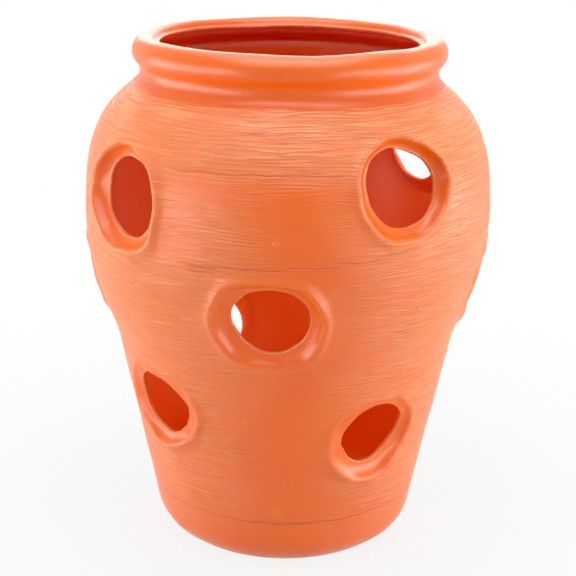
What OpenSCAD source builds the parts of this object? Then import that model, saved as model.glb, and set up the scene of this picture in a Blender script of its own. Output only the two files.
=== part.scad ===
// Strawberry jar planter, blow-moulded in one piece, with a push-in drain plug.
// The jar stands on z = 0 with its axis on Z, and its front faces -Y.
//
// The wall is drawn once, as the path that its outer skin takes from the edge of the
// drain hole out over the base, up the side and round the rolled rim to the cut lip.
// The inner skin walks the same path one wall thickness further in.

/* [Jar] */
// Overall height, from the ground to the top of the rim
height = 420; // [400:1:450]
// Radius of the jar at its widest, on the plain wall between the pockets
belly_r = 165; // [155:0.5:178]
// Thickness of the moulded wall
wall = 2.8; // [2.2:0.1:3.2]

/* [Base] */
// Radius of the ring that the jar stands on
foot_r = 77; // [70:0.5:84]
// Width of the flat of that ring
foot_w = 5; // [3:0.5:10]
// Height of the hollowed base above the ground
base_recess = 7; // [5:0.5:10]
// Rounding of the step from the foot ring up to the hollowed base
step_r = 5; // [4:0.5:7]
// Radius of the drain hole in the middle of the base
drain_r = 10; // [7:0.5:14]

/* [Side] */
// Lean of the straight lower wall from upright, in degrees
wall_lean = 11.7; // [10:0.1:13]
// Radius of the hollow bend where the lower wall opens into the belly
flare_r = 160; // [100:5:220]
// Lean of the wall where the belly starts, in degrees
flare_lean = 22.7; // [20:0.1:25]
// Radius of the long curve of the belly, seen from the side
belly_curve_r = 225; // [190:5:250]
// Inward lean at the top of the belly's curve, in degrees
belly_top_lean = 10.3; // [6:0.1:14]
// Radius of the shoulder, seen from the side
shoulder_r = 89; // [78:1:100]

/* [Neck and rim] */
// Inward lean of the shoulder at the foot of the neck, in degrees
shoulder_lean = 52; // [48:0.5:56]
// Radius of the shallow dip under the neck ring
dip_r = 24; // [16:1:40]
// Inward lean of the wall at the bottom of that dip, in degrees
dip_lean = 43; // [40:0.5:46]
// Radius of the soft ring round the foot of the neck
ring_r = 8; // [6:0.5:12]
// Inward lean of the wall at the top of that ring, in degrees
ring_lean = 58; // [54:0.5:64]
// Radius of the neck groove
neck_r = 10.5; // [8:0.5:13]
// Slope of the underside of the rim, in degrees above level
rim_rise = 45; // [35:1:55]
// Radius of the rolled rim, outside and over the top
rim_r = 12; // [10:0.5:14]
// Radius of the rolled rim where it turns down into the mouth
rim_in_r = 6.5; // [5:0.5:8]
// How far the rim turns down past its top, in degrees
rim_turn = 70; // [60:1:80]
// Radius of the gutter between the rim and the cut lip
gutter_r = 2; // [1.5:0.25:3]
// Upward slope of the cut lip towards the mouth, in degrees
lip_slope = 15; // [5:1:30]
// Length of the cut lip past the gutter
lip_len = 1.5; // [1:0.25:3]

/* [Pockets] */
// Radius of the holes in the top row
top_hole_r = 30; // [26:0.5:32]
// Radius of the holes in the middle row
middle_hole_r = 28; // [24:0.5:30]
// Radius of the holes in the bottom row
bottom_hole_r = 27.5; // [24:0.5:30]
// Bearings of the top row from the front, to the right as seen from there, in degrees
top_bearing = [-49, 34, 131, -143]; // [-180:1:180]
// Bearings of the middle row
middle_bearing = [-4, 86, 176, -94]; // [-180:1:180]
// Bearings of the bottom row
bottom_bearing = [-48, 34, 131, -149]; // [-180:1:180]
// Heights of the top row's hole centres
top_z = [313, 327, 312, 320]; // [300:1:335]
// Heights of the middle row's hole centres
middle_z = [228, 226, 230, 225]; // [215:1:240]
// Heights of the bottom row's hole centres
bottom_z = [137, 119, 126, 136]; // [105:1:145]
// Distance from the edge of a hole out to the crest of its lip
lip_w = 11.5; // [9:0.5:13]
// Height of the crest over the jar's wall where it stands out least
lip_rise = 2.5; // [1:0.25:4]
// Rounding of the crest
crest_r = 4.5; // [3.5:0.25:5.5]
// Steepest slope inside the lip, in degrees
bowl_slope = 62; // [50:1:70]
// Slope at the cut edge of the hole, in degrees
cut_slope = 12; // [0:1:25]
// Slope of the lip's outer side, in degrees
skirt_slope = 55; // [45:1:65]

/* [Drain plug] */
// Gap all round between the plug's stem and the drain hole
plug_gap = 0.25; // [0.15:0.05:0.5]
// Radius of the plug's flange, which lies on the floor inside
flange_r = 17; // [15:0.5:22]
// Thickness of the flange
flange_t = 3; // [2:0.25:5]
// How far the stem shows below the floor of the jar
stem_out = 2.5; // [1:0.25:4]
// Chamfer on the end of the stem
stem_chamfer = 1.5; // [0.5:0.25:2]
// Radius of the grip on top of the plug
grip_r = 6; // [4:0.5:8]
// Radius of the waist under the grip
waist_r = 3.5; // [2.5:0.25:5]
// Height of the grip over the flange
grip_h = 14; // [12:0.5:20]

/* [Colours] */
// Terracotta orange of the jar
jar_colour = "#e0703a";
// Dark brown of the plug
plug_colour = "#5a3326";

/* [Hidden] */
$fn = 96;
// Longest chord of one facet along a curved outline
chord = 28;
// Widest turn of one facet in degrees, on the jar's outline and on a pocket's lip
turn = 24;
lip_turn = 30;
// Overrun of a cutting solid past the wall that it cuts
overrun = 20;
// How deep a pocket's lip is rooted in the wall, below its crest
root = 13;
// How far inside the crest the wall is cut away, so that the lip covers the cut
crest_cover = crest_r / 3;

// ---- Outlines ----
// A path is a list of steps. [r, heading] is an arc that ends at that heading, to the
// left if r is positive and to the right if it is negative; [length] is a straight run.
// Headings are in degrees: 0 is outward and 90 is up.

// One end of the radius of an arc: r away from its centre, for a given heading
function off(r, heading) = r * [sin(heading), -cos(heading)];

// How far a step moves, from heading h
function move(s, h) = len(s) == 1 ? s[0] * [cos(h), sin(h)] : off(s[0], s[1]) - off(s[0], h);

// The whole displacement of steps i and on
function travel(steps, h, i = 0) = i == len(steps) ? [0, 0]
  : move(steps[i], h) + travel(steps, len(steps[i]) == 1 ? h : steps[i][1], i + 1);

// Points along one step, after its start p; inset shifts the walk to the left
function trace(s, p, h, inset, facet) = len(s) == 1 ? [p + move(s, h)]
  : let (n = ceil(max(abs(s[1] - h) / facet, abs(s[1] - h) * PI / 180 * abs(s[0]) / chord)))
    [for (k = [1:n]) p - off(s[0] - inset, h) + off(s[0] - inset, h + (s[1] - h) * k / n)];

// All points of a path that starts at p with heading h
function walk(steps, p, h, inset = 0, facet = turn, i = 0) = i == len(steps) ? [p]
  : let (q = trace(steps[i], p, h, inset, facet))
    concat([p], [for (k = [0:1:len(q) - 2]) q[k]],
           walk(steps, q[len(q) - 1], len(steps[i]) == 1 ? h : steps[i][1], inset, facet, i + 1));

// ---- The wall of the jar ----
// Turn of each half of the step in the base, which together climb base_recess
step_turn = acos(1 - base_recess / (2 * step_r));
base_step = [[-step_r, -step_turn], [step_r, 0]];
corner_top = 90 - wall_lean;
// From the top of the straight wall to the widest point, and on to the top of the rim
wall_to_belly = [[-flare_r, 90 - flare_lean], [belly_curve_r, 90]];
belly_to_crest = [[belly_curve_r, 90 + belly_top_lean], [shoulder_r, 90 + shoulder_lean],
                  [-dip_r, 90 + dip_lean], [ring_r, 90 + ring_lean], [-neck_r, rim_rise], [rim_r, 180]];
crest_to_lip = [[rim_in_r, 180 + rim_turn], [-gutter_r, 180 - lip_slope], [lip_len]];
upper = concat(wall_to_belly, belly_to_crest);
// The rounded bottom corner and the straight wall take up what is left of the width
// and the height
rest = travel(wall_to_belly, corner_top);
rest_z = height - travel(upper, corner_top)[1];
corner_gain = 1 - cos(corner_top);
foot_out = belly_r - foot_r - rest[0];
corner_r = (foot_out - rest_z / tan(corner_top)) / (sin(corner_top) - corner_gain / tan(corner_top));
wall_len = (rest_z - corner_r * corner_gain) / sin(corner_top);
floor_len = foot_r - foot_w - drain_r - travel(base_step, 0)[0];
steps = concat([[floor_len]], base_step, [[foot_w], [corner_r, corner_top], [wall_len]], upper, crest_to_lip);

function skin(inset) = walk(steps, [drain_r, base_recess + inset], 0, inset);

// Radius of the plain wall's outer skin at a height, from the foot to the rim
profile = [for (p = walk(concat([[corner_r, corner_top], [wall_len]], upper), [foot_r, 0], 0)) [p[1], p[0]]];
function side_r(z) = lookup(z, profile);

// Where the lip is cut round the mouth
lip = travel(steps, 0) + [drain_r, base_recess];
mouth_r = lip[0];

// Everything inside one skin of the wall, as a solid
module body(inset) {
  p = skin(inset);
  rotate_extrude()
    polygon(concat([[0, base_recess + inset]], p, [[0, p[len(p) - 1][1]]]));
}

// ---- Pockets ----
// Each is [bearing, height of the hole's centre, radius of the hole]
pockets = [
  for (k = [0:3]) [top_bearing[k], top_z[k], top_hole_r],
  for (k = [0:3]) [middle_bearing[k], middle_z[k], middle_hole_r],
  for (k = [0:3]) [bottom_bearing[k], bottom_z[k], bottom_hole_r]
];
bowl_r = (lip_w - crest_r * sin(bowl_slope)) / (sin(bowl_slope) - sin(cut_slope));
bowl_depth = bowl_r * (cos(cut_slope) - cos(bowl_slope)) + crest_r * (1 - cos(bowl_slope));

// Outer radius of the crest of a lip, and the wall above and below it
function crest(p) = p[2] + lip_w;
function above(p) = side_r(p[1] + crest(p));
function below(p) = side_r(p[1] - crest(p));
function lean(p) = atan((above(p) - below(p)) / (2 * crest(p)));
// Height of the wall beside the pocket over the chord from above it to below it
function bulge(p) = (side_r(p[1]) - (above(p) + below(p)) / 2) * cos(lean(p))
  - crest(p) * crest(p) / (2 * side_r(p[1]));

// Puts its children in a pocket's own frame: Z out through the hole, 0 at the crest
module at_pocket(p) {
  rotate([0, 0, p[0]])
    translate([0, -(above(p) + below(p)) / 2, p[1]])
      rotate([90 + lean(p), 0, 0])
        translate([0, 0, lip_rise + max(0, bulge(p))])
          children();
}

// The disc under one skin of a lip, out to where its skirt is deep in the wall. The skin
// starts one wall thickness inside the hole's edge, so that the hole is cut cleanly.
module lip_disc(p, inset) {
  steps = [[wall], [bowl_r, bowl_slope], [-crest_r, -skirt_slope], [root / sin(skirt_slope)]];
  start = [p[2], -bowl_depth] + off(inset, cut_slope) - move([wall], cut_slope);
  q = walk(steps, start, cut_slope, -inset, lip_turn);
  deep = q[len(q) - 1];
  rotate_extrude()
    polygon(concat([[0, start[1]]], q, [[0, deep[1]]]));
}

// A body with its pockets formed in it
module pocketed(inset) {
  difference() {
    body(inset);
    for (p = pockets)
      at_pocket(p) translate([0, 0, -root]) cylinder(r = crest(p) - crest_cover, h = root + overrun);
  }
  for (p = pockets) at_pocket(p) lip_disc(p, inset);
}

module jar() {
  color(jar_colour)
    difference() {
      difference() {
        pocketed(0);
        pocketed(wall);
      }
      for (p = pockets) at_pocket(p) translate([0, 0, -overrun]) cylinder(r = p[2], h = 2 * overrun);
      translate([0, 0, lip[1] - overrun]) cylinder(r = mouth_r, h = 2 * overrun);
      cylinder(r = drain_r, h = base_recess + overrun);
    }
}

// ---- Drain plug ----
// Pushed in from inside: the flange lies on the floor and the stem closes the hole
floor_z = base_recess + wall;
stem_r = drain_r - plug_gap;
stem_len = wall + stem_out;

module drain_plug() {
  color(plug_colour)
    translate([0, 0, floor_z]) {
      translate([0, 0, -stem_len])
        cylinder(r1 = stem_r - stem_chamfer, r2 = stem_r, h = stem_chamfer);
      translate([0, 0, stem_chamfer - stem_len])
        cylinder(r = stem_r, h = stem_len - stem_chamfer + flange_t / 2);
      rotate_extrude()
        polygon(concat([[0, 0]], walk([[flange_t / 2, 180]], [flange_r - flange_t / 2, 0], 0), [[0, flange_t]]));
      cylinder(r = waist_r, h = grip_h - grip_r);
      translate([0, 0, grip_h - grip_r]) sphere(r = grip_r);
    }
}

jar();
drain_plug();
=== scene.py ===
# %% [markdown]
# # A strawberry jar, blow-moulded in polyethylene
# A strawberry jar is a planting pot with a wide mouth and rows of lipped pockets round its
# side. This one imitates thrown terracotta, but it is a thin plastic shell: a hot tube of
# polyethylene was blown out against a mould, and its holes were cut afterwards.
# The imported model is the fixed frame. It says where everything is, in metres, and this
# lesson dresses it. The jar's own sizes are written in millimetres, as its maker would, and
# become metres when its mesh is made.

# %% Load the frame
import math

import bpy
import numpy as np
from mathutils import Matrix, Vector


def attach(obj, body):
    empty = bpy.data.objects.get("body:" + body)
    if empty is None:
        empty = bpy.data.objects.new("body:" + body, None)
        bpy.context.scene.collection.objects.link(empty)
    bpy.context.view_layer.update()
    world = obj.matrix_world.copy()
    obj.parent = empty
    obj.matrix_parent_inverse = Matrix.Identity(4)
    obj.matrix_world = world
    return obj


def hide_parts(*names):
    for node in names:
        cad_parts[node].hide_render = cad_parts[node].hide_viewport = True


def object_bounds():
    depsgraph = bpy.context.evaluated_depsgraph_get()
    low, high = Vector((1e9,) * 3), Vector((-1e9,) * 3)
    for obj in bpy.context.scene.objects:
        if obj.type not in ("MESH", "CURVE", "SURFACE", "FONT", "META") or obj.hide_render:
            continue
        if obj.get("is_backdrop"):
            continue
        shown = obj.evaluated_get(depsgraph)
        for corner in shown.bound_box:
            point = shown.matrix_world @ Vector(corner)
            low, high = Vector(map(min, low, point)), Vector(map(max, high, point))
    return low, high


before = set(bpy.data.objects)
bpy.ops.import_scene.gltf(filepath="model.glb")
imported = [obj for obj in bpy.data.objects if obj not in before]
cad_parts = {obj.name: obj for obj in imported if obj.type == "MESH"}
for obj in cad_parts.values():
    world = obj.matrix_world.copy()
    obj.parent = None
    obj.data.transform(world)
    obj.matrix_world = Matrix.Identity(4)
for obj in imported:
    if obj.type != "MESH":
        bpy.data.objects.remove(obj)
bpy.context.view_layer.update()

# %% [markdown]
# ## The path of the wall
# A blown shell has one wall of even thickness, so the whole jar is one line: it starts at
# the drain hole, crosses the floor, drops to the foot ring, climbs the side, and rolls over
# the rim to the cut lip. A modeller could draw that line by eye, but the frame has real
# bends, so the line is walked as a list of steps. A step is a bend, with its radius and the
# heading at its end (minus bends to the right), or it is a straight run. Headings are in
# degrees: 0 is outward and 90 is up.

# %% List the steps of the wall
MM = 0.001
WALL = 2.8                                                   # thickness
DRAIN_R, FLOOR_Z = 10.0, 7.0                                 # where the path starts
WALL_PATH = [
    (52.46,), (-5.0, -72.542), (5.0, 0.0), (5.0,),           # floor, step and foot ring
    (32.62, 78.3), (145.76,),                                # bottom corner, lower wall
    (-160.0, 67.3), (225.0, 90.0), (225.0, 100.3),           # flare and belly
    (89.0, 142.0), (-24.0, 133.0), (8.0, 148.0),             # shoulder, dip, soft ring
    (-10.5, 45.0), (12.0, 180.0), (6.5, 250.0),              # neck groove, rolled rim
    (-2.0, 165.0), (1.5,),                                   # gutter and cut lip
]
CORNER, DIP, SOFT_RING = 4, 10, 11                           # where these steps are in the list
print("the wall has", len(WALL_PATH), "bends and runs")


# %% Walk along the steps
def radius_end(radius, heading):
    """The free end of a bend's radius, for a path that runs at this heading."""
    a = math.radians(heading)
    return np.array([radius * math.sin(a), -radius * math.cos(a)])


def walk(path, start, heading, longest, widest):
    """Points along a path, at most `longest` mm and `widest` degrees apart."""
    here, points, step_of = np.array(start, float), [np.array(start, float)], [0]
    for number, step in enumerate(path):
        if len(step) == 1:
            a = math.radians(heading)
            count = math.ceil(step[0] / longest)
            run = np.array([math.cos(a), math.sin(a)]) * step[0]
            new = [here + run * k / count for k in range(1, count + 1)]
        else:
            radius, end = step
            turn = end - heading
            arc = math.radians(abs(turn)) * abs(radius)
            count = math.ceil(max(abs(turn) / widest, arc / longest))
            centre = here - radius_end(radius, heading)
            new = [centre + radius_end(radius, heading + turn * k / count) for k in range(1, count + 1)]
            heading = end
        here = new[-1]
        points += new
        step_of += [number] * len(new)
    return np.array(points), np.array(step_of)


fine_line, fine_step = walk(WALL_PATH, (DRAIN_R, FLOOR_Z), heading=0.0, longest=0.5, widest=1.0)
wall_length = np.linalg.norm(np.diff(fine_line, axis=0), axis=1).sum()
print("the wall's line is", round(float(wall_length)), "mm long")

# %% Read the side's radius at any height
side = fine_line[(fine_step >= CORNER) & (fine_step <= SOFT_RING)]


def wall_radius(z):
    """Radius of the plain side at a height."""
    return np.interp(z, side[:, 1], side[:, 0])


print("the belly is", round(2 * float(side[:, 0].max()), 1), "mm across")

# %% [markdown]
# ## Twelve pockets
# Each pocket is a shallow dish that the mould pressed out of the wall, with a rounded crest
# round it and a hole cut in its floor. A pocket has a frame of its own: U to the right, V up
# and N straight out through the hole. They stand in three rows, and the rows are staggered.

# %% Put a frame on each pocket
POCKETS = [  # name, bearing from the front, height and radius of the hole
    ("top_left", -51, 311, 30.0), ("top_right", 34, 327, 30.0),
    ("top_back_right", 131, 312, 30.0), ("top_back_left", -143, 320, 30.0),
    ("middle_front", -4, 228, 28.0), ("middle_right", 86, 226, 28.0),
    ("middle_back", 176, 230, 28.0), ("middle_left", -94, 225, 28.0),
    ("low_left", -48, 137, 27.5), ("low_right", 34, 119, 27.5),
    ("low_back_right", 131, 126, 27.5), ("low_back_left", -149, 136, 27.5),
]
LIP_WIDTH, LIP_RISE, CREST_R = 11.5, 2.5, 3.5                # of a plain lip, in mm
BOWL_SLOPE, CUT_SLOPE, SKIRT_SLOPE = 62.0, 12.0, -55.0       # degrees from the pocket's plane


def pocket_frame(name, bearing, height, hole_r):
    """Origin and axes of a pocket, where its crest touches the wall's own chord."""
    crest = hole_r + LIP_WIDTH
    above, below = wall_radius(height + crest), wall_radius(height - crest)
    lean = math.atan2(above - below, 2 * crest)
    middle = (above + below) / 2
    # The wall bulges out of the chord upright, and falls away from it sideways.
    bulge = (wall_radius(height) - middle) * math.cos(lean) - crest**2 / (2 * wall_radius(height))
    b = math.radians(bearing)
    turn = np.array([[math.cos(b), -math.sin(b), 0], [math.sin(b), math.cos(b), 0], [0, 0, 1]])
    u = turn @ [1, 0, 0]
    v = turn @ [0, -math.sin(lean), math.cos(lean)]
    n = turn @ [0, -math.cos(lean), -math.sin(lean)]
    origin = turn @ [0, -middle, height] + n * (LIP_RISE + max(0, bulge))
    return {"name": name, "bearing": bearing, "height": height, "hole": hole_r, "at": origin,
            "axes": np.array([u, v, n])}


pockets = [pocket_frame(*row) for row in POCKETS]
print(len(pockets), "pockets, leaning by",
      sorted({round(math.degrees(-math.asin(p["axes"][2][2]))) for p in pockets}), "degrees")

# %% [markdown]
# ## The section of a lip
# Cut a pocket across and its skin runs like this: from the hole's edge it rises slowly,
# bends up the inside of the bowl, rolls over the crest and falls away down the skirt. It is
# walked in the same way as the wall, so it has the radii of the real moulding.

# %% Draw the lip's section
EDGE_RUN, SKIRT_RUN = 4.0, 60.0                              # straight runs at its two ends
climb = math.sin(math.radians(BOWL_SLOPE)) - math.sin(math.radians(CUT_SLOPE))
BOWL_R = (LIP_WIDTH - CREST_R * math.sin(math.radians(BOWL_SLOPE))) / climb
lip_line, _ = walk([(EDGE_RUN,), (BOWL_R, BOWL_SLOPE), (-CREST_R, SKIRT_SLOPE), (SKIRT_RUN,)],
                   (-EDGE_RUN * math.cos(math.radians(CUT_SLOPE)), 0),
                   heading=CUT_SLOPE, longest=0.2, widest=1.0)
lip_line[:, 1] -= lip_line[:, 1].max()
EDGE_DEPTH = -float(np.interp(0, lip_line[:, 0], lip_line[:, 1]))
print("the hole's edge lies", round(EDGE_DEPTH, 1), "mm below the crest")

# %% [markdown]
# ## What the mould and the knife leave
# No two pockets are alike. A soft mould gives each lip its own width and height, and the
# holes are cut by hand. Each lip is described in eight directions, from the right and
# anticlockwise: its width, how far its crest stands out of the wall, and how far the hole's
# edge is lifted out of the dish. A hole is a circle with a few slow waves, and each lip has
# a shallow fold in the wall beside it. The five pockets in front are described one by one,
# and so are the lips of the two at the sides.

# %% Describe the lips one by one
FLAT_EDGE = (-2.5, -1.2, 0.0, -1.2, -2.5, -1.2, 0.0, -1.2)
LIPS = {  # width, rise and lift, in mm
    "top_left": ((11, 11, 10, 8.5, 13, 10, 11, 13.5), (4.0, 3.4, 2.6, 2.0, 1.8, 2.0, 2.8, 3.8),
                 (-1.0, 0.5, 0.5, -1.2, -3.0, -2.0, 0.0, -0.5)),
    "top_right": ((7.5, 6.5, 7, 8.5, 14, 13, 10.5, 6.5), (2.2, 2.0, 2.2, 2.6, 3.2, 3.2, 3.0, 2.4),
                  (-1.0, 0.5, 0.5, -0.8, -2.0, -1.2, 0.0, -0.4)),
    "middle_front": ((11, 11, 8, 15, 16, 15, 9.5, 14), (3.4, 3.0, 1.4, 2.4, 2.4, 2.2, 1.2, 2.0),
                     (-1.5, 0.0, 2.5, 0.0, -2.5, -1.2, 0.0, -0.8)),
    "low_left": ((12, 8, 6, 10, 12, 9, 9, 11), (2.6, 0.8, 0.4, 0.8, 1.6, 2.4, 3.2, 3.2),
                 (-1.0, 3.5, 5.5, 2.0, -2.5, -1.2, 0.0, -0.6)),
    "low_right": ((10, 8, 6, 7, 13, 14, 14, 14.5), (1.8, 0.8, 0.4, 0.8, 3.0, 3.4, 3.4, 2.6),
                  (-2.0, 1.5, 4.5, 4.0, 0.0, -0.6, 0.0, -1.2)),
    "middle_right": ((11, 10, 10, 11, 12, 12, 11, 11), (1.6, 1.2, 0.9, 1.2, 1.6, 2.0, 2.6, 2.2),
                     FLAT_EDGE),
    "middle_left": ((11, 11, 10, 11, 12, 11, 11, 12), (1.6, 1.5, 1.8, 1.5, 1.6, 2.2, 2.8, 2.2),
                    FLAT_EDGE),
}
print(len(LIPS), "lips described")

# %% Describe the cuts and the folds
CUTS = {  # waves of the hole's radius: count round the hole, size in mm, direction in degrees
    "top_left": ((0, 1.5, 0), (1, 0.6, -98), (2, 2.0, -39), (3, 0.3, -157)),
    "top_right": ((0, 0.4, 0), (1, 0.9, -165), (2, 1.0, -32), (3, 1.0, 12)),
    "middle_front": ((0, 1.0, 0), (1, 0.4, 173), (2, 0.4, -17), (3, 0.6, 110)),
    "low_left": ((0, 1.3, 0), (1, 2.3, -177), (2, 1.4, 45), (3, 0.8, 40)),
    "low_right": ((0, 0.4, 0), (1, 3.5, 107), (2, 0.4, 21), (3, 1.4, 71)),
}
FOLDS = {  # direction and half length in degrees, distance from the crest and height in mm
    "top_left": (-30, 50, 9, 0.5), "top_right": (205, 75, 9, 1.0), "middle_front": (-20, 60, 8, 0.6),
}
print(len(CUTS), "cuts and", len(FOLDS), "folds described")

# %% [markdown]
# ## The rest by chance
# What isn't described is drawn from a seeded generator, so every run makes the same jar.
# All the pockets draw the knife's small nicks, its burr and the sag of the crest.

# %% Give each pocket its own lip and cut
RISE_MM = 2.3                                                # of a lip that is drawn by chance
WIDTH_SPREAD, RISE_SPREAD, LIFT_SPREAD = 1.3, 0.5, 0.5       # mm
CUT_WAVES = ((1, 0.8), (2, 1.3), (3, 0.7))                   # count round the hole and size in mm
NICK_WAVES = ((4, 0.30), (5, 0.22), (7, 0.15), (11, 0.10))
SAG_WAVES = ((5, 0.35), (8, 0.30), (13, 0.14))
SMALL_FOLD = (50, 9, 0.5)                                    # as in the table, without the direction
BURR_POINTS = 400                                            # more than any hole's edge has


def turned(waves, turns):
    """Waves with a direction each."""
    return [(count, size, turn) for (count, size), turn in zip(waves, turns)]


rng = np.random.default_rng(7)
for p in pockets:
    spread = rng.normal(size=(3, 8))
    spread = (spread + np.roll(spread, 1, 1)) / 1.5          # neighbouring directions are alike
    drawn = (LIP_WIDTH + WIDTH_SPREAD * spread[0], RISE_MM + RISE_SPREAD * spread[1],
             np.array(FLAT_EDGE) + LIFT_SPREAD * spread[2])
    p["width"], p["rise"], p["lift"] = LIPS.get(p["name"], drawn)
    turns = rng.uniform(-180, 180, 9)
    p["cut"] = CUTS.get(p["name"], turned(CUT_WAVES, turns[:3]))
    p["nicks"] = turned(NICK_WAVES, turns[3:7])
    p["sag"] = turned(SAG_WAVES, turns[[7, 8, 0]])
    p["burr"] = rng.normal(size=BURR_POINTS)
    p["fold"] = FOLDS.get(p["name"], (turns[2], *SMALL_FOLD))
print(len(pockets) - len(LIPS), "lips drawn by chance")


# %% Read the waves and the eight directions
def ease(x):
    """0 to 1, smoothly."""
    x = np.clip(x, 0, 1)
    return x * x * (3 - 2 * x)


def around(waves, angle):
    """The sum of a pocket's waves at an angle round its hole."""
    return sum(size * np.cos(n * angle - math.radians(phase)) for n, size, phase in waves)


def eight_ways(values, angle):
    """A value given in eight directions, passed through smoothly."""
    values, turn = np.asarray(values, float), np.mod(np.asarray(angle) / (np.pi / 4), 8)
    first = turn.astype(int) % 8
    share = ease(turn - np.floor(turn))
    return values[first] * (1 - share) + values[(first + 1) % 8] * share


clock = np.linspace(0, 2 * np.pi, 73)                        # once round, by 5 degrees
edges = [p["hole"] + around(p["cut"], clock) for p in pockets]
print("hole radii from", round(float(np.min(edges)), 1), "to", round(float(np.max(edges)), 1), "mm")

# %% [markdown]
# ## A wall that isn't quite round
# The wall of a blown jar wanders by some tenths of a millimetre, at most by one millimetre,
# where the plastic cooled unevenly. Sums of sine waves in three sizes give that kind of
# smooth unevenness.

# %% Make the waviness
SINES, TOGETHER = 6, 2.4                                     # six sines add up to about 2.4 of one
WAVES = [(length, depth, rng.normal(size=(SINES, 3)), rng.uniform(0, 2 * np.pi, SINES))
         for length, depth in ((95.0, 0.45), (38.0, 0.18), (15.0, 0.06))]


def waviness(points):
    """How far the wall stands out or in at each point, in mm."""
    total = np.zeros(len(points))
    for length, depth, ways, phases in WAVES:
        ways = ways / np.linalg.norm(ways, axis=1)[:, None]
        total += depth * np.sin(points @ ways.T * 2 * np.pi / length + phases).sum(1) / TOGETHER
    return total


print("waves", [length for length, *_ in WAVES], "mm long")

# %% [markdown]
# ## One skin, with the mesh flowing round the holes
# The side could be a plain grid with the holes cut out by a boolean, but the cuts would
# leave slivers that catch the light. Instead a block of the grid is taken out at each
# pocket, and rings of faces lead from the square edge of the gap to the round hole.

# %% Lay out the grid
COLUMNS = 240
ROW_MM, ROW_TURN = 4.5, 14.0                                 # the most between rows, in mm and degrees
FLOOR_ROWS = 10
rows, row_step = walk(WALL_PATH, (DRAIN_R, FLOOR_Z), heading=0.0, longest=ROW_MM, widest=ROW_TURN)
keep = np.ones(len(rows), bool)
keep[1:FLOOR_ROWS] = np.arange(1, FLOOR_ROWS) % 3 == 0       # the hidden floor needs few rows
rows, row_step = rows[keep], row_step[keep]
bearings = np.arange(COLUMNS) * 2 * np.pi / COLUMNS
grid = np.stack([np.outer(rows[:, 0], np.sin(bearings)), np.outer(rows[:, 0], -np.cos(bearings)),
                 np.repeat(rows[:, 1:2], COLUMNS, 1)], -1)
print("grid of", len(rows), "rows by", COLUMNS, "columns")

# %% Take a block out for each pocket
ROOM = 22.0                                                  # mm from a hole to the sides of its block
SQUASH = 0.96                                                # a block is a little lower than it is wide
climbing = np.flatnonzero((row_step >= CORNER) & (row_step <= SOFT_RING))
taken = np.zeros((len(rows), COLUMNS), bool)


def nearest_row(z):
    """The row of the side that lies nearest to a height."""
    return climbing[np.argmin(abs(rows[climbing, 1] - z))]


for p in pockets:
    half = p["hole"] + ROOM
    column = 360 / COLUMNS
    wide = 2 * round(math.degrees(half / wall_radius(p["height"])) / column)
    low = nearest_row(p["height"] - half * SQUASH)
    high = nearest_row(p["height"] + half * SQUASH)
    first = round(p["bearing"] / column - wide / 2)
    cells = np.ix_(range(low, high), np.arange(first, first + wide) % COLUMNS)
    assert not taken[cells].any(), "two pockets' blocks overlap"
    taken[cells] = True
    p["block"] = (first, wide, low, high - low)
print("blocks", sorted({p["block"][1::2] for p in pockets}), "columns by rows")

# %% [markdown]
# ## From wall to lip
# A point of the wall near a pocket moves along N until it lies on the lip. For that it is
# written in the pocket's own frame, where the plain wall is a gentle bow and the hole is
# round the origin.


# %% Move in and out of a pocket's frame
def to_pocket(p, points):
    """Points of the jar, in a pocket's frame."""
    return (points - p["at"]) @ p["axes"].T


def from_pocket(p, local):
    """Points of a pocket's frame, in the jar's."""
    return p["at"] + local @ p["axes"]


PASSES = 12                                                  # each brings the points nearer to the wall


def on_wall(p, flat):
    """Local points on the plain wall, over points of the pocket's plane."""
    local = np.concatenate([flat, np.zeros((len(flat), 1))], 1)
    for _ in range(PASSES):
        points = from_pocket(p, local)
        across = np.hypot(points[:, 0], points[:, 1])
        miss = across - wall_radius(points[:, 2])
        slope = (points[:, :2] @ p["axes"][2][:2]) / across
        lean = (wall_radius(points[:, 2] + 0.5) - wall_radius(points[:, 2] - 0.5)) * p["axes"][2][2]
        local[:, 2] -= miss / (slope - lean)
    return local


middles = [float(on_wall(p, np.zeros((1, 2)))[0, 2]) for p in pockets]
print("at the holes' middles the plain wall lies", round(min(middles), 1), "to",
      round(max(middles), 1), "mm along N")

# %% [markdown]
# ## The form of a lip
# The crest follows the round wall, a little proud of it. Outside the crest the higher of
# wall and skirt wins, and the two are blended with a fillet, as hot plastic doesn't take a
# sharp inner corner. Inside the crest the dish replaces the wall, down to the hole's edge.

# %% Follow the crest and the hole's edge
SWAY, LAG = 1.3, 0.4                                         # the crest sways sideways as it sags
NICK_REACH = 9.0                                             # mm from the edge where the nicks end


def lip_width(p, angle):
    """Width of the lip from the hole's edge to its crest, with the wobble of a soft mould."""
    return eight_ways(p["width"], angle) + SWAY * around(p["sag"], angle + LAG)


def ring_radius(p, out, angle):
    """Distance from the hole's middle of a ring that lies `out` mm from its edge."""
    nicks = around(p["nicks"], angle) * (1 - ease(out / NICK_REACH))
    return p["hole"] + around(p["cut"], angle) + nicks + out


for p in pockets:
    reach = p["hole"] + around(p["cut"], clock) + lip_width(p, clock)
    flat = np.stack([reach * np.cos(clock), reach * np.sin(clock)], 1)
    p["wall_at_crest"] = on_wall(p, flat)[:, 2]
print("crests", round(2 * float(reach.mean())), "mm across on the last pocket")

# %% Shape the lip
FILLET, FILLET_START = 3.5, 4.0                              # mm, and mm from the crest to its full size
FOLD_WIDTH = 3.2


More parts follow.
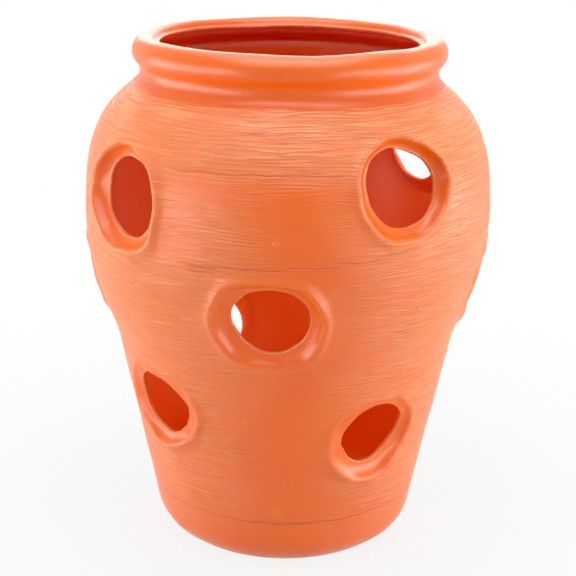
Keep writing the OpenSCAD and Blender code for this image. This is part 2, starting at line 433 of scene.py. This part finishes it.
def lip_height(p, out, angle, wall):
    """Height of the skin over a pocket's plane, where the plain wall is at height `wall`."""
    width = lip_width(p, angle)
    crest = np.interp(np.mod(angle, 2 * np.pi), clock, p["wall_at_crest"])
    crest = crest + eight_ways(p["rise"], angle) + around(p["sag"], angle)
    edge = eight_ways(p["lift"], angle) - EDGE_DEPTH
    along = np.where(out < width, out * LIP_WIDTH / width, LIP_WIDTH + out - width)
    section = np.interp(along, lip_line[:, 0], lip_line[:, 1])
    dish = crest - (crest - edge) * -section / EDGE_DEPTH
    skirt = crest + section
    fillet = np.maximum(FILLET - abs(skirt - wall), 0) ** 2 / (4 * FILLET)
    fillet = fillet * ease((out - width) / FILLET_START)
    toward, window, distance, height = p["fold"]
    off = np.degrees(np.angle(np.exp(1j * (angle - math.radians(toward)))))
    fold = height * np.exp(-((out - width - distance) / FOLD_WIDTH) ** 2) * np.exp(-(off / window) ** 2)
    return np.where(out < width, dish, np.maximum(skirt, wall) + fillet) + fold


tip = lip_height(pockets[0], np.array([LIP_WIDTH]), np.array([0.0]), np.array([0.0]))
print("the top left lip stands", round(float(tip[0]), 1), "mm over its pocket's plane on the right")

# %% Push the wall out into lips
REACH, DEPTH = 78, 45                                        # mm round a pocket that it may move
flat_grid = grid.reshape(-1, 3)
shaped = flat_grid.copy()
for p in pockets:
    local = to_pocket(p, flat_grid)
    rho, angle = np.hypot(local[:, 0], local[:, 1]), np.arctan2(local[:, 1], local[:, 0])
    near = (rho < REACH) & (abs(local[:, 2]) < DEPTH) & (rho > p["hole"])
    out = rho - p["hole"] - around(p["cut"], angle)
    local[:, 2] = lip_height(p, out, angle, local[:, 2])
    shaped[near] = from_pocket(p, local[near])
pushed = np.linalg.norm(shaped - flat_grid, axis=1)[~taken.ravel()]
print("lips pushed out by up to", round(float(pushed.max()), 1), "mm on the grid")

# %% [markdown]
# ## Rings round each hole
# The rings start at the hole's edge and follow the lip over its crest, close together where
# it bends most. Then a few more change shape step by step, from the round lip to the square
# edge of the block, so that no face is thin or twisted.


# %% Walk round the edge of a block
def block_edge(p):
    """Numbers of the grid's points round a pocket's block, from low left and anticlockwise."""
    first, wide, low, tall = p["block"]
    i, j = np.arange(wide), np.arange(tall)
    sides = [(first + i, low), (first + wide, low + j),
             (first + wide - i, low + tall), (first, low + tall - j)]
    column, row = np.concatenate([np.stack(np.broadcast_arrays(*ends)) for ends in sides], 1)
    return row * COLUMNS + column % COLUMNS


print("a block's edge has", sorted({len(block_edge(p)) for p in pockets}), "points")

# %% Make the rings of a pocket
RINGS = (0, 0.8, 2.2, 3.8, 5.3, 6.8, 8.2, 9.4, 10.5, 11.5, 12.5, 13.5)   # mm from the hole's edge
MORPH = (0.12, 0.27, 0.45, 0.7)                              # shares of the way to the block's edge
TWIST, TWIST_RINGS = 0.6, len(RINGS) + 2                     # the spokes turn slowly to the corners


def rings_round(p, flat_edge):
    """Rings of local points from a pocket's hole to the edge of its block."""
    true_angle = np.unwrap(np.arctan2(flat_edge[:, 1], flat_edge[:, 0]))
    even = np.arange(len(flat_edge)) * 2 * np.pi / len(flat_edge)
    even += (true_angle - even).mean()
    rings = []
    for k, step in enumerate(RINGS):
        angle = even + (true_angle - even) * TWIST * ease(k / TWIST_RINGS)
        width = lip_width(p, angle)
        out = np.where(step < LIP_WIDTH, step * width / LIP_WIDTH, width + step - LIP_WIDTH)
        reach = ring_radius(p, out, angle)
        local = on_wall(p, np.stack([reach * np.cos(angle), reach * np.sin(angle)], 1))
        local[:, 2] = lip_height(p, out, angle, local[:, 2])
        rings.append(local)
    last = rings[-1][:, :2]
    p["spare"] = float((np.hypot(*flat_edge.T) - np.hypot(*last.T)).min())
    for t in MORPH:
        flat = last + (flat_edge - last) * t
        local = on_wall(p, flat)
        rho, angle = np.hypot(flat[:, 0], flat[:, 1]), np.arctan2(flat[:, 1], flat[:, 0])
        local[:, 2] = lip_height(p, rho - p["hole"] - around(p["cut"], angle), angle, local[:, 2])
        rings.append(local)
    return rings


print(len(RINGS), "rings on a lip and", len(MORPH), "to the block's edge")

# %% Fill each block with its rings
skin, quads, count = [shaped], [], len(shaped)
for p in pockets:
    edge_ids = block_edge(p)
    rings = rings_round(p, to_pocket(p, flat_grid[edge_ids])[:, :2])
    sectors = len(edge_ids)
    ids = [count + k * sectors + np.arange(sectors) for k in range(len(rings))] + [edge_ids]
    for nearer, further in zip(ids[:-1], ids[1:]):
        quads.append(np.stack([nearer, further, np.roll(further, -1), np.roll(nearer, -1)], 1))
    p["rim_ids"], p["ring_ids"] = ids[0], ids[:-1]
    skin.append(from_pocket(p, np.concatenate(rings)))
    count += len(rings) * sectors
row, column = np.nonzero(~taken[:-1])
left, right = row * COLUMNS + column, row * COLUMNS + (column + 1) % COLUMNS
quads.insert(0, np.stack([left, right, right + COLUMNS, left + COLUMNS], 1))
skin, quads = np.concatenate(skin), np.concatenate(quads)
print("outer skin:", len(skin), "points,", len(quads), "faces; least room round a lip",
      round(min(p["spare"] for p in pockets), 1), "mm")

# %% [markdown]
# ## The inner skin and the cut edges
# The inside is the same skin again, one wall thickness along the normal. The two are
# joined at every cut: the drain hole, the lip of the mouth and the twelve pockets. A middle
# ring rounds each cut, and a little roughness on it is the burr of the knife.

# %% Let the wall wander
CALM_HEIGHT = 12                                             # mm over the ground, and full above it


def normals_of(points, faces):
    """The skin's own direction outward at each point."""
    a, b, c, d = (points[faces[:, k]] for k in range(4))
    cross = np.cross(c - a, d - b)
    total = np.zeros_like(points)
    for k in range(4):
        np.add.at(total, faces[:, k], cross)
    return total / np.maximum(np.linalg.norm(total, axis=1), 1e-9)[:, None]


calm = ease(skin[:, 2] / CALM_HEIGHT)
calm[: (row_step < CORNER).sum() * COLUMNS] = 0              # the foot stays flat on the ground
wander = waviness(skin) * calm
outer = skin + normals_of(skin, quads) * wander[:, None]
print("the wall wanders from", round(float(wander.min()), 2), "to", round(float(wander.max()), 2), "mm")

# %% Thicken the skin
EDGE_WALL = 1.02                                             # a cut edge is a hair thicker than the wall
BURR_OUT, BURR_SPREAD = 0.25, 0.3                            # mm that the burr stands out
SMOOTHING = [0.25, 0.5, 0.25]                                # each point of it leans on its neighbours
inner = outer - normals_of(outer, quads) * WALL
bottom_row = np.arange(COLUMNS)
top_row = bottom_row + (len(rows) - 1) * COLUMNS
inner[bottom_row] = outer[bottom_row] + [0, 0, WALL]
inner[top_row] = outer[top_row] - [0, 0, WALL]
for p in pockets:
    ids, n = p["rim_ids"], p["axes"][2]
    inner[ids] = outer[ids] - n * WALL * EDGE_WALL
    p["edge_burr"] = np.convolve(p["burr"], SMOOTHING, "same")[: len(ids)]
    outer[ids] += n * (BURR_OUT + BURR_SPREAD * p["edge_burr"])[:, None]
print("inner skin", WALL, "mm in")

# %% Close the cuts
PLAIN_ROUND, KNIFE_ROUND, KNIFE_SPREAD = 0.3, 0.35, 0.2      # mm that a cut's middle stands in
UP = np.array([0.0, 0.0, 1.0])
cuts = [(bottom_row[::-1], np.zeros(3), -UP, PLAIN_ROUND), (top_row, np.zeros(3), UP, PLAIN_ROUND)]
for p in pockets:
    cuts.append((p["rim_ids"], p["at"], p["axes"][2], KNIFE_ROUND + KNIFE_SPREAD * p["edge_burr"]))
total = len(outer)
points, faces, cut_ids = [outer, inner], [quads, quads[:, ::-1] + total], []
start = 2 * total
for ids, centre, axis, stand_in in cuts:
    inward = centre - outer[ids]
    inward -= np.outer(inward @ axis, axis)
    inward /= np.linalg.norm(inward, axis=1)[:, None]
    points.append((outer[ids] + inner[ids]) / 2 + inward * np.reshape(stand_in, (-1, 1)))
    mid = start + np.arange(len(ids))
    faces += [np.stack([ids, np.roll(ids, -1), np.roll(mid, -1), mid], 1),
              np.stack([mid, np.roll(mid, -1), np.roll(ids, -1) + total, ids + total], 1)]
    cut_ids += [ids, ids + total, mid]
    start += len(ids)
points, faces = np.concatenate(points), np.concatenate(faces)
print(len(cuts), "cuts closed")

# %% [markdown]
# ## Marks for the material
# The material must know where the comb went, where a knife cut and what is inside. These
# are saved as numbers on the mesh's points, which stay right from every side. The comb is
# strongest on the shoulder and stops at the neck, and it left the dishes alone. Down the
# middle of the front its lines are worn smooth.

# %% Mark where the comb went
COMB_HEIGHTS = (0, 40, 75, 200, 330, 352, 386, 391, 396)     # mm
COMB_STRENGTH = (0.1, 0.3, 0.7, 0.9, 0.9, 1.3, 1.3, 0.6, 0.0)
WORN, WORN_BEARING, WORN_HALF = 0.88, 3, 17                  # a share, and degrees from the front
WORN_TOP, WORN_FADE = 345, 20                                # mm
COMB_START, COMB_FULL = 3, 5                                 # mm inside the crest, and mm from there on
# This mask also sets the painted sheen in the material's colour, so the front band is left without
# painted sheen.
combed = np.interp(outer[:, 2], COMB_HEIGHTS, COMB_STRENGTH)
combed[: len(shaped)] *= np.repeat((row_step >= CORNER) & (row_step <= DIP), COLUMNS)
facing = np.degrees(np.arctan2(outer[:, 0], -outer[:, 1]))
front = np.exp(-((facing - WORN_BEARING) / WORN_HALF) ** 2)
combed *= 1 - WORN * front * ease((WORN_TOP - outer[:, 2]) / WORN_FADE)
for p in pockets:
    for ids, out in zip(p["ring_ids"], RINGS):
        combed[ids] *= ease((out - LIP_WIDTH + COMB_START) / COMB_FULL)
print("the comb is", round(float(combed.mean()), 2), "strong on average")

# %% Mark the cuts and the inside
masks = {name: np.zeros(len(points)) for name in ("combed", "cut", "inside")}
masks["combed"][:total] = combed
masks["cut"][np.concatenate(cut_ids)] = 1
masks["inside"][total:2 * total] = 1
print({name: round(float(values.mean()), 3) for name, values in masks.items()})

# %% [markdown]
# ## The jar's piece
# The points that the blocks took out of the grid belong to no face, so they are dropped
# first. The mesh rides on the jar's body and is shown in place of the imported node.

# %% Make the jar's mesh
used = np.zeros(len(points), bool)
used[faces.ravel()] = True
new_id = np.cumsum(used) - 1
mesh = bpy.data.meshes.new("jar_shell")
mesh.from_pydata((points[used] * MM).tolist(), [], new_id[faces].tolist())
for name, values in masks.items():
    saved = mesh.attributes.new(name, "FLOAT", "POINT")
    saved.data.foreach_set("value", values[used].astype(np.float32))
mesh.polygons.foreach_set("use_smooth", [True] * len(mesh.polygons))
mesh.update()
jar = bpy.data.objects.new("jar_shell", mesh)
bpy.context.scene.collection.objects.link(jar)
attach(jar, "jar")
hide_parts("jar")
print("the shell has", len(mesh.vertices), "points and", len(mesh.polygons), "faces")

# %% [markdown]
# ## Colours and nodes
# Colours are written as the hex values that a screen shows, and one function turns them
# into the linear light that the shaders add up. A second one adds a node and wires it. It
# takes each input by its name, with _ for a space, or by its place, such as _0 for the
# first. A Mix node's two colours are its inputs 6 and 7, and its output 2 is their mix.


# %% Two helpers for materials
def linear(hex_colour):
    """The linear light of an sRGB colour, with full alpha."""
    parts = [int(hex_colour[k:k + 2], 16) / 255 for k in (1, 3, 5)]
    return [c / 12.92 if c <= 0.04045 else ((c + 0.055) / 1.055) ** 2.4 for c in parts] + [1.0]


def add(tree, kind, settings=None, **inputs):
    """Add a node: settings are its own properties, inputs are values, or nodes or sockets to link."""
    node = tree.nodes.new(kind)
    for key, value in (settings or {}).items():
        setattr(node, key, value)
    for key, value in inputs.items():
        socket = node.inputs[int(key[1:]) if key[0] == "_" else key.replace("_", " ")]
        if isinstance(value, bpy.types.Node):
            value = value.outputs[0]
        if isinstance(value, bpy.types.NodeSocket):
            tree.links.new(value, socket)
        else:
            socket.default_value = value
    return node


print("a screen's middle grey is", round(linear("#808080")[0], 3), "of white in linear light")


# %% Start a material
def new_material(name):
    """An empty material, its node tree and its shader."""
    material = bpy.data.materials.new(name)
    material.use_nodes = True
    tree = material.node_tree
    tree.nodes.clear()
    shader = add(tree, "ShaderNodeBsdfPrincipled")
    add(tree, "ShaderNodeOutputMaterial", Surface=shader)
    return material, tree, shader


polyethylene, tree, shader = new_material("blow_moulded_polyethylene")
jar.data.materials.append(polyethylene)
print(polyethylene.name, "on", jar.name)

# %% [markdown]
# ## Blow-moulded polyethylene, combed
# High-density polyethylene is a waxy plastic. It has a soft, wide sheen, and light sinks
# in and travels a few millimetres sideways, red furthest, so the thin wall glows a deep
# red-orange inside. The mould was combed with level lines about 2.6 mm apart, so that the
# pot looks thrown. They stop short of the rim and the foot, and the dishes are smooth.
# The lines could be cut into the mesh, but they are only about half a millimetre deep, so a
# bump shows them at a hundredth of the faces.

# %% Set how polyethylene takes the light
shader.inputs["IOR"].default_value = 1.54                    # usual for dense polyethylene
shader.inputs["Specular IOR Level"].default_value = 0.55
shader.inputs["Subsurface Weight"].default_value = 0.5
shader.inputs["Subsurface Radius"].default_value = (1.0, 0.2, 0.04)
shader.inputs["Subsurface Scale"].default_value = 7.0 * MM   # how far red light travels
here = add(tree, "ShaderNodeTexCoord").outputs["Object"]
mask = {}
for name in masks:
    mask[name] = add(tree, "ShaderNodeAttribute", {"attribute_name": name}).outputs["Fac"]
print("masks on the mesh:", list(mask))

# %% [markdown]
# ## The comb's lines
# A comb drawn round a turning mould leaves lines that are nearly level, sway a little, and
# fade in and out. Noise squeezed in height and drawn out along the wall gives that: it is
# fine across the lines and about 40 mm long along them.

# %% Draw the comb's lines
LINE_MM, ALONG_MM = 1.3, 40.0                                # a cell of noise is a groove or a ridge
SWAY_MM, SWAY_LONG = 4, 70                                   # the lines' rise and fall, and its length
GROOVE_FROM, GROOVE_TO = 0.42, 0.57                          # where in the noise a line's flank lies
sway = add(tree, "ShaderNodeTexNoise", Vector=here, Scale=1 / (SWAY_LONG * MM), Detail=1.0)
sway = add(tree, "ShaderNodeMapRange", Value=sway, To_Min=-SWAY_MM * MM, To_Max=SWAY_MM * MM)
raised = add(tree, "ShaderNodeCombineXYZ", Z=sway)
level = add(tree, "ShaderNodeVectorMath", {"operation": "ADD"}, _0=here, _1=raised)
squeezed = add(tree, "ShaderNodeMapping", Vector=level,
               Scale=(1 / (ALONG_MM * MM), 1 / (ALONG_MM * MM), 1 / (LINE_MM * MM)))
lines = add(tree, "ShaderNodeTexNoise", Vector=squeezed, Scale=1.0, Detail=1.5, Roughness=0.5)
lines = add(tree, "ShaderNodeMapRange", {"interpolation_type": "SMOOTHSTEP"},
            Value=lines, From_Min=GROOVE_FROM, From_Max=GROOVE_TO)
print("comb lines", 2 * LINE_MM, "mm apart")

# %% Let the lines come and go
PATCH_MM = 45
FAINT, STRONG = 0.35, 1.15                                   # times the comb's own strength
FAINT_BELOW, STRONG_ABOVE = 0.35, 0.62                       # values of the noise
patches = add(tree, "ShaderNodeTexNoise", Vector=here, Scale=1 / (PATCH_MM * MM), Detail=2.0)
fading = add(tree, "ShaderNodeMapRange", Value=patches,
             From_Min=FAINT_BELOW, From_Max=STRONG_ABOVE, To_Min=FAINT, To_Max=STRONG)
strength = add(tree, "ShaderNodeMath", {"operation": "MULTIPLY"}, _0=fading, _1=mask["combed"])
comb = add(tree, "ShaderNodeMath", {"operation": "MULTIPLY"}, _0=lines, _1=strength)
print("patches", PATCH_MM, "mm wide, where the lines are", FAINT, "to", STRONG, "strong")

# %% [markdown]
# ## Creases and blobs
# A moulded jar has marks. Long shallow creases run nearly level where the shell folded as
# it cooled, and small blobs stand up where the mould was pitted. Each crease has a height,
# a stretch of bearings, a width and a depth. Each blob has a place, a size and how far it
# stands out. They are summed and go into the bump.

# %% List the marks
CREASES = [  # height, first and last bearing, width, depth
    (340.0, -36, 15, 0.9, 0.32), (367.0, -15, 7, 0.7, 0.25), (359.0, -36, -25, 0.7, 0.25),
    (272.3, -29, 1, 1.0, 0.38), (274.2, 0, 13, 0.9, 0.32), (277.2, 12, 24, 0.9, 0.26),
    (280.0, 22, 31, 0.8, 0.20), (268.2, -27, -12, 0.8, 0.25), (264.5, -24, -15, 0.8, 0.20),
    (45.5, -180, 180, 1.2, 0.45), (57.0, -41, -36, 0.8, 0.3), (60.5, -40, -35, 0.8, 0.3),
    (111.0, -19, -13, 0.6, 0.3), (114.5, -20, -14, 0.6, 0.25),
]
BLOBS = [  # bearing, height, size, how far it stands out
    (-2.7, 294.6, 3.5, 0.40), (-1.9, 355.3, 2.5, 0.35), (28.3, 356.7, 2.5, 0.35),
    (39.2, 232.8, 2.4, 0.35), (-13.2, 137.7, 2.4, 0.35), (2.5, 83.8, 2.4, 0.35),
    (-2.8, 55.3, 8.0, 0.50), (-26.1, 258.2, 2.2, 0.30), (150.0, 250.0, 3.0, 0.35),
    (-120.0, 180.0, 2.6, 0.30), (60.0, 170.0, 2.6, 0.30), (-165.0, 90.0, 3.0, 0.35),
]
print(len(CREASES), "creases and", len(BLOBS), "blobs")

# %% Find each point's bearing and height
SHIVER_MM, SHIVER_LONG = 2.2, 14                             # a crease wavers as it runs
place = add(tree, "ShaderNodeSeparateXYZ", _0=here)
toward = add(tree, "ShaderNodeMath", {"operation": "MULTIPLY"}, _0=place.outputs["Y"], _1=-1.0)
bearing = add(tree, "ShaderNodeMath", {"operation": "ARCTAN2"}, _0=place.outputs["X"], _1=toward)
shiver = add(tree, "ShaderNodeTexNoise", Vector=here, Scale=1 / (SHIVER_LONG * MM), Detail=2.0)
shiver = add(tree, "ShaderNodeMapRange", Value=shiver, To_Min=-SHIVER_MM * MM, To_Max=SHIVER_MM * MM)
height = add(tree, "ShaderNodeMath", {"operation": "ADD"}, _0=place.outputs["Z"], _1=shiver)
print("creases waver by", SHIVER_MM, "mm")

# %% Press in the creases
CREASE_FLOOR = 0.25                                          # share of its width that is full depth
END_FROM, END_TO = 0.8, 1.02                                 # where along its half length it ends
marks = 0.0
for at, first, last, width, depth in CREASES:
    off = add(tree, "ShaderNodeMath", {"operation": "SUBTRACT"}, _0=height, _1=at * MM)
    off = add(tree, "ShaderNodeMath", {"operation": "ABSOLUTE"}, _0=off)
    groove = add(tree, "ShaderNodeMapRange", {"interpolation_type": "SMOOTHSTEP"}, Value=off,
                 From_Min=CREASE_FLOOR * width * MM, From_Max=width * MM, To_Min=-depth, To_Max=0.0)
    middle, half = math.radians((first + last) / 2), math.radians((last - first) / 2)
    off = add(tree, "ShaderNodeMath", {"operation": "SUBTRACT"}, _0=bearing, _1=middle)
    off = add(tree, "ShaderNodeMath", {"operation": "ABSOLUTE"}, _0=off)
    span = add(tree, "ShaderNodeMapRange", Value=off,
               From_Min=half * END_FROM, From_Max=half * END_TO, To_Min=1.0, To_Max=0.0)
    marks = add(tree, "ShaderNodeMath", {"operation": "MULTIPLY_ADD"}, _0=groove, _1=span, _2=marks)
print("the longest crease runs over", max(last - first for _, first, last, *_ in CREASES), "degrees")

# %% Raise the blobs
BLOB_TOP = 0.2                                               # share of a blob's size that is flat
for at, z, size, stand in BLOBS:
    b, r = math.radians(at), float(wall_radius(z))
    spot = (r * math.sin(b) * MM, -r * math.cos(b) * MM, z * MM)
    off = add(tree, "ShaderNodeVectorMath", {"operation": "DISTANCE"}, _0=level, _1=spot)
    blob = add(tree, "ShaderNodeMapRange", {"interpolation_type": "SMOOTHSTEP"},
               Value=off.outputs["Value"], From_Min=BLOB_TOP * size * MM, From_Max=size * MM,
               To_Min=stand, To_Max=0.0)
    marks = add(tree, "ShaderNodeMath", {"operation": "ADD"}, _0=marks, _1=blob)
print("the largest blob is", max(size for _, _, size, _ in BLOBS), "mm in radius")

# %% [markdown]
# ## Relief and colour together
# All heights are added in millimetres for one bump. The marks are drawn about twice as deep
# as real ones, and the plastic's fine grain, a few tenths of a millimetre on the real jar,
# is drawn at 1.6 mm, as both would be too fine to show in the render. The same numbers also
# colour the plastic. Its orange is a little deeper in patches, the creases darken it as
# painted shade and the blobs lighten it as painted light. A combed skin turns pale as painted
# sheen down the sides, the tops between its grooves turn pale partly as painted highlight and
# partly as whitened plastic, and a torn burr turns pale too.

# %% Join the relief
MARK_GAIN, COMB_DEPTH, GRAIN_DEPTH, GRAIN_MM = 2.2, 0.62, 0.05, 1.6
grain = add(tree, "ShaderNodeTexNoise", Vector=here, Scale=1 / (GRAIN_MM * MM), Detail=3.0)
outside = add(tree, "ShaderNodeMath", {"operation": "MULTIPLY_ADD"},
              _0=mask["inside"], _1=-MARK_GAIN, _2=MARK_GAIN)
deeper = add(tree, "ShaderNodeMath", {"operation": "MULTIPLY"}, _0=marks, _1=outside)
relief = add(tree, "ShaderNodeMath", {"operation": "MULTIPLY_ADD"}, _0=comb, _1=COMB_DEPTH, _2=deeper)
relief = add(tree, "ShaderNodeMath", {"operation": "MULTIPLY_ADD"}, _0=grain, _1=GRAIN_DEPTH, _2=relief)
bump = add(tree, "ShaderNodeBump", Strength=1.0, Distance=MM, Height=relief)
tree.links.new(bump.outputs[0], shader.inputs["Normal"])
print("the comb's deepest lines are", round(COMB_DEPTH * STRONG * max(COMB_STRENGTH), 2), "mm deep")

# %% Find where the plastic turns pale, mostly as painted sheen
SPECK_MM = 2.5                                               # the torn specks of the knife's burr
TORN_LEAST, TORN_MOST = 0.1, 0.42                            # shares of the pale colour
SPECK_BELOW, SPECK_ABOVE = 0.35, 0.7                         # values of the noise
# The combed skin's paleness is painted sheen, the soft boxes' reflection down the sides. The paleness on
# the tops of the lines is partly painted highlight and partly whitened plastic.
COMBED_SHEEN, LINE_WEAR_AND_SHEEN = 0.14, 0.14
speckle = add(tree, "ShaderNodeTexNoise", Vector=here, Scale=1 / (SPECK_MM * MM), Detail=2.0)
torn = add(tree, "ShaderNodeMapRange", Value=speckle,
           From_Min=SPECK_BELOW, From_Max=SPECK_ABOVE, To_Min=TORN_LEAST, To_Max=TORN_MOST)
burr = add(tree, "ShaderNodeMath", {"operation": "MULTIPLY"}, _0=mask["cut"], _1=torn)
sheen_and_burr = add(tree, "ShaderNodeMath", {"operation": "MULTIPLY_ADD"},
           _0=mask["combed"], _1=COMBED_SHEEN, _2=burr)
pale_wear_and_sheen = add(tree, "ShaderNodeMath", {"operation": "MULTIPLY_ADD"}, _0=comb, _1=LINE_WEAR_AND_SHEEN, _2=sheen_and_burr)
print("a torn burr is pale by", TORN_LEAST, "to", TORN_MOST)

# %% Colour the plastic
ORANGE, DEEP, PALE = "#f77404", "#ed6000", "#ffc08c"
PLAIN_ROUGH, COMBED_ROUGHER = 0.34, 0.05
# The creases' depth pulls the orange towards DEEP, which is painted shade in the creases, and the blobs
# pull it lighter, which is painted light on them. The patches are the plastic's own uneven tone.
tone_and_crease_shade = add(tree, "ShaderNodeMath", {"operation": "ADD"}, _0=deeper, _1=patches)
colour = add(tree, "ShaderNodeMix", {"data_type": "RGBA"},
             Factor=tone_and_crease_shade, _6=linear(DEEP), _7=linear(ORANGE))
pale = add(tree, "ShaderNodeMix", {"data_type": "RGBA"},
           Factor=pale_wear_and_sheen, _6=colour.outputs[2], _7=linear(PALE))
tree.links.new(pale.outputs[2], shader.inputs["Base Color"])
rough = add(tree, "ShaderNodeMath", {"operation": "MULTIPLY_ADD"},
            _0=mask["combed"], _1=COMBED_ROUGHER, _2=PLAIN_ROUGH)
tree.links.new(rough.outputs[0], shader.inputs["Roughness"])
print("polyethylene:", len(tree.nodes), "nodes")

# %% [markdown]
# ## Moulded rubber
# The drain plug is a soft black-brown rubber, moulded in a sandblasted tool. It is dull,
# with a fine even grain, and a little dust greys it in patches. The blasted grain is about
# 0.2 mm on real rubber, and is drawn at 0.8 mm so that it shows.

# %% Make the rubber of the plug
RUBBER, DUSTY = "#3b2620", "#54382e"
BLAST_MM, BLAST_DEPTH, DUST_MM = 0.8, 0.05, 9
rubber, tree, shader = new_material("moulded_rubber")
here = add(tree, "ShaderNodeTexCoord").outputs["Object"]
grain = add(tree, "ShaderNodeTexNoise", Vector=here, Scale=1 / (BLAST_MM * MM), Detail=2.0)
dust = add(tree, "ShaderNodeTexNoise", Vector=here, Scale=1 / (DUST_MM * MM), Detail=4.0)
tint = add(tree, "ShaderNodeMix", {"data_type": "RGBA"},
           Factor=dust, _6=linear(RUBBER), _7=linear(DUSTY))
tree.links.new(tint.outputs[2], shader.inputs["Base Color"])
shader.inputs["Roughness"].default_value = 0.72
bump = add(tree, "ShaderNodeBump", Strength=0.5, Distance=BLAST_DEPTH * MM, Height=grain)
tree.links.new(bump.outputs[0], shader.inputs["Normal"])
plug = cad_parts["drain_plug"]
plug.data.materials.clear()
plug.data.materials.append(rubber)
print("rubber on", plug.name)

# %% [markdown]
# ## The camera
# The photograph was fitted with a pinhole camera: it stands 1.13 m from the jar's axis and
# looks down by 17.7 degrees. A tiny turn and roll stand in for a camera held by hand.

# %% Place the camera
CAMERA_AT = (0.0, -1134.0, 570.2)                            # mm
PITCH, YAW, ROLL = 17.72, 0.078, 0.83                        # degrees
FOCAL_PX, FRAME_PX, SENSOR_MM = 1415.1, 576, 36.0
camera_data = bpy.data.cameras.new("camera")
camera_data.sensor_width = SENSOR_MM
camera_data.lens = FOCAL_PX / FRAME_PX * SENSOR_MM
camera = bpy.data.objects.new("camera", camera_data)
bpy.context.scene.collection.objects.link(camera)
camera.matrix_world = (Matrix.Translation([v * MM for v in CAMERA_AT])
                       @ Matrix.Rotation(math.radians(-YAW), 4, "Z")
                       @ Matrix.Rotation(math.radians(90 - PITCH), 4, "X")
                       @ Matrix.Rotation(math.radians(ROLL), 4, "Z"))
bpy.context.scene.camera = camera
print("lens", round(camera_data.lens, 1), "mm")

# %% [markdown]
# ## The studio
# A product shot on white. The floor is uncoated paper, which is matt: it takes a soft
# shadow and reflects nothing. Seen by the camera or in a reflection it shows mostly its own
# plain white, and wholly so further out, where it meets the white world. Light Path tells
# such rays from the others, so the white puts no more light on the jar, and near the jar a
# share of real paper keeps its shadow.


# %% Make the paper
def seeing(tree):
    """1 for a ray from the camera, from a reflection or through glass, else 0."""
    path = add(tree, "ShaderNodeLightPath")
    seen = add(tree, "ShaderNodeMath", {"operation": "MAXIMUM"},
               _0=path.outputs["Is Camera Ray"], _1=path.outputs["Is Glossy Ray"])
    return add(tree, "ShaderNodeMath", {"operation": "MAXIMUM"},
               _0=seen, _1=path.outputs["Is Transmission Ray"])


NEAR, FAR = 0.18, 0.6                                        # metres from the jar's axis
NEAR_WHITE = 0.86                                            # share of plain white near the jar
paper, tree, shader = new_material("white_paper")
shader.inputs["Base Color"].default_value = linear("#c4c4c4")
shader.inputs["Roughness"].default_value = 0.9
away = add(tree, "ShaderNodeTexCoord").outputs["Object"]
away = add(tree, "ShaderNodeVectorMath", {"operation": "LENGTH"}, _0=away)
own = add(tree, "ShaderNodeMapRange", Value=away.outputs["Value"],
          From_Min=NEAR, From_Max=FAR, To_Min=NEAR_WHITE, To_Max=1.0)
share = add(tree, "ShaderNodeMath", {"operation": "MULTIPLY"}, _0=seeing(tree), _1=own)
white = add(tree, "ShaderNodeEmission", Color=(1, 1, 1, 1), Strength=1.0)
both = add(tree, "ShaderNodeMixShader", _0=share, _1=shader, _2=white)
tree.links.new(both.outputs[0], tree.nodes["Material Output"].inputs["Surface"])
print("the paper shows", NEAR_WHITE, "of its own white near the jar")

# %% Lay the floor
HALF = 4.0
CORNERS = [(-HALF, -HALF, 0), (HALF, -HALF, 0), (HALF, HALF, 0), (-HALF, HALF, 0)]
sheet = bpy.data.meshes.new("floor")
sheet.from_pydata(CORNERS, [], [(0, 1, 2, 3)])
sheet.materials.append(paper)
floor = bpy.data.objects.new("floor", sheet)
floor.location = (0, 0, -0.2 * MM)                           # just under the foot
bpy.context.scene.collection.objects.link(floor)
floor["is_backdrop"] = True
print("floor", 2 * HALF, "m wide")

# %% Light the world
FILL = 0.02
world = bpy.data.worlds.new("studio")
bpy.context.scene.world = world
world.use_nodes = True
tree = world.node_tree
tree.nodes.clear()
strength = add(tree, "ShaderNodeMapRange", Value=seeing(tree), To_Min=FILL, To_Max=1.0)
sky = add(tree, "ShaderNodeBackground", Color=(1, 1, 1, 1), Strength=strength)
add(tree, "ShaderNodeOutputWorld", Surface=sky)
print("the world lights the jar at", FILL)

# %% [markdown]
# ## The lamps
# The photograph shows a pale sheen down both sides and a deeper band in the middle. That
# is two wide soft boxes beside the jar, each with a low strip nearer to it. Two more above
# light the rim and the shoulder, and one behind keeps the back from going flat.

# %% Hang the lamps
AIM = (0, 0, 0.22)                                           # the jar's middle
LAMPS = [  # name, place, width and height in metres, watts
    ("left_box", (-1.11, -0.30, 0.27), 1.8, 0.5, 7.5),
    ("right_box", (1.11, -0.30, 0.27), 1.8, 0.5, 8.0),
    ("low_left_strip", (-0.72, -0.20, 0.15), 1.25, 0.26, 2.4),
    ("low_right_strip", (0.72, -0.20, 0.15), 1.25, 0.26, 2.6),
    ("front_box", (0, -0.5, 1.5), 1.2, 1.0, 10.0),
    ("top_box", (0, 0.1, 1.5), 1.2, 1.2, 9.0),
    ("back_box", (0, 1.3, 0.9), 1.2, 0.9, 9.0),
]
for name, at, width, height, watts in LAMPS:
    data = bpy.data.lights.new(name, "AREA")
    data.shape, data.size, data.size_y, data.energy = "RECTANGLE", width, height, watts
    lamp = bpy.data.objects.new(name, data)
    bpy.context.scene.collection.objects.link(lamp)
    lamp.location = at
    lamp.rotation_euler = (Vector(AIM) - Vector(at)).to_track_quat("-Z", "Y").to_euler()
    lamp.visible_camera = False
    lamp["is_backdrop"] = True
print(len(LAMPS), "soft boxes")

# %% [markdown]
# ## Measure and finish
# The view is set to Standard, so that a colour is shown as it is written. The dressed
# model's box is measured and printed.

# %% Finish
bpy.context.scene.view_settings.view_transform = "Standard"
low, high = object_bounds()
print("the dressed model is", [round(v, 4) for v in high - low], "m")
